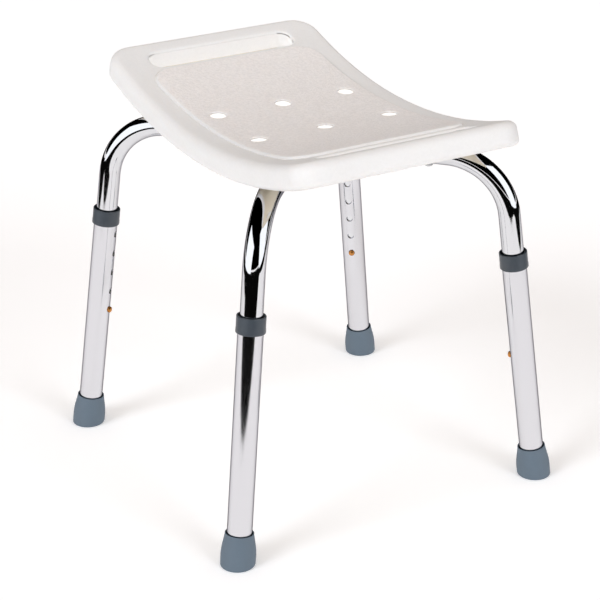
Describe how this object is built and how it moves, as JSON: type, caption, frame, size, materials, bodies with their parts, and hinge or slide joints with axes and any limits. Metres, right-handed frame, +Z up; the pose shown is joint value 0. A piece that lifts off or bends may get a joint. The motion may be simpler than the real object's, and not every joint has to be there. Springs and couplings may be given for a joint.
{
  "type": "shower stool",
  "caption": "Backless shower stool with a saddle-curved perforated seat, hand slots at both ends and splayed telescoping tube legs on rubber tips.",
  "frame": {"origin": "on the floor under the middle of the seat", "axes": "+Z up, +X towards the sitter's right along the seat's saddle curve, +Y towards the back of the seat"},
  "size_m": [0.4894, 0.4476, 0.4721],
  "materials": {
    "hdpe": "off-white blow-moulded polyethylene, textured on the pad and smooth on the edges",
    "chromed_steel": "mirror chrome plate",
    "aluminium": "bright drawn and anodised",
    "collar_plastic": "dark grey moulded, low sheen",
    "tip_rubber": "blue-grey, matte",
    "brass": "turned",
    "zinc_steel": "zinc plated",
    "spring_steel": "bright strip",
    "plug_plastic": "black moulded"
  },
  "bodies": {
    "frame": {"seat": "hdpe", "upper_tube_front_left": "chromed_steel", "upper_tube_front_right": "chromed_steel", "upper_tube_rear_right": "chromed_steel", "upper_tube_rear_left": "chromed_steel", "seat_screw_front_left_1": "zinc_steel", "seat_screw_front_left_2": "zinc_steel", "seat_screw_front_right_1": "zinc_steel", "seat_screw_front_right_2": "zinc_steel", "seat_screw_rear_right_1": "zinc_steel", "seat_screw_rear_right_2": "zinc_steel", "seat_screw_rear_left_1": "zinc_steel", "seat_screw_rear_left_2": "zinc_steel", "insert_front_left_1": "brass", "insert_front_left_2": "brass", "insert_front_right_1": "brass", "insert_front_right_2": "brass", "insert_rear_right_1": "brass", "insert_rear_right_2": "brass", "insert_rear_left_1": "brass", "insert_rear_left_2": "brass", "end_plug_front_left": "plug_plastic", "end_plug_front_right": "plug_plastic", "end_plug_rear_right": "plug_plastic", "end_plug_rear_left": "plug_plastic", "spring_clip_front_left": "spring_steel", "spring_clip_front_right": "spring_steel", "spring_clip_rear_right": "spring_steel", "spring_clip_rear_left": "spring_steel"},
    "leg_front_left": {"lower_tube_front_left": "aluminium", "collar_front_left": "collar_plastic", "rubber_tip_front_left": "tip_rubber", "tip_washer_front_left": "zinc_steel"},
    "button_front_left": {"snap_button_front_left": "brass"},
    "leg_front_right": {"lower_tube_front_right": "aluminium", "collar_front_right": "collar_plastic", "rubber_tip_front_right": "tip_rubber", "tip_washer_front_right": "zinc_steel"},
    "button_front_right": {"snap_button_front_right": "brass"},
    "leg_rear_right": {"lower_tube_rear_right": "aluminium", "collar_rear_right": "collar_plastic", "rubber_tip_rear_right": "tip_rubber", "tip_washer_rear_right": "zinc_steel"},
    "button_rear_right": {"snap_button_rear_right": "brass"},
    "leg_rear_left": {"lower_tube_rear_left": "aluminium", "collar_rear_left": "collar_plastic", "rubber_tip_rear_left": "tip_rubber", "tip_washer_rear_left": "zinc_steel"},
    "button_rear_left": {"snap_button_rear_left": "brass"}
  },
  "joints": [
    {"name": "leg_slide_front_left", "type": "slide", "parent": "frame", "child": "leg_front_left", "axis": [-0.0589, -0.1095, -0.9922], "range_m": [0, 0.1016], "deforming": ["snap_button_front_left", "spring_clip_front_left"]},
    {"name": "button_press_front_left", "type": "slide", "parent": "frame", "child": "button_front_left", "axis": [-0.7394, -0.663, 0.1171], "range_m": [0, 0.005], "stiffness_N_per_m": 1500, "springref_m": -0.002, "deforming": ["spring_clip_front_left"]},
    {"name": "leg_slide_front_right", "type": "slide", "parent": "frame", "child": "leg_front_right", "axis": [0.0589, -0.1095, -0.9922], "range_m": [0, 0.1016], "deforming": ["snap_button_front_right", "spring_clip_front_right"]},
    {"name": "button_press_front_right", "type": "slide", "parent": "frame", "child": "button_front_right", "axis": [0.7394, -0.663, 0.1171], "range_m": [0, 0.005], "stiffness_N_per_m": 1500, "springref_m": -0.002, "deforming": ["spring_clip_front_right"]},
    {"name": "leg_slide_rear_right", "type": "slide", "parent": "frame", "child": "leg_rear_right", "axis": [0.0589, 0.1095, -0.9922], "range_m": [0, 0.1016], "deforming": ["snap_button_rear_right", "spring_clip_rear_right"]},
    {"name": "button_press_rear_right", "type": "slide", "parent": "frame", "child": "button_rear_right", "axis": [0.7394, 0.663, 0.1171], "range_m": [0, 0.005], "stiffness_N_per_m": 1500, "springref_m": -0.002, "deforming": ["spring_clip_rear_right"]},
    {"name": "leg_slide_rear_left", "type": "slide", "parent": "frame", "child": "leg_rear_left", "axis": [-0.0589, 0.1095, -0.9922], "range_m": [0, 0.1016], "deforming": ["snap_button_rear_left", "spring_clip_rear_left"]},
    {"name": "button_press_rear_left", "type": "slide", "parent": "frame", "child": "button_rear_left", "axis": [-0.7394, 0.663, 0.1171], "range_m": [0, 0.005], "stiffness_N_per_m": 1500, "springref_m": -0.002, "deforming": ["spring_clip_rear_left"]}
  ]
}
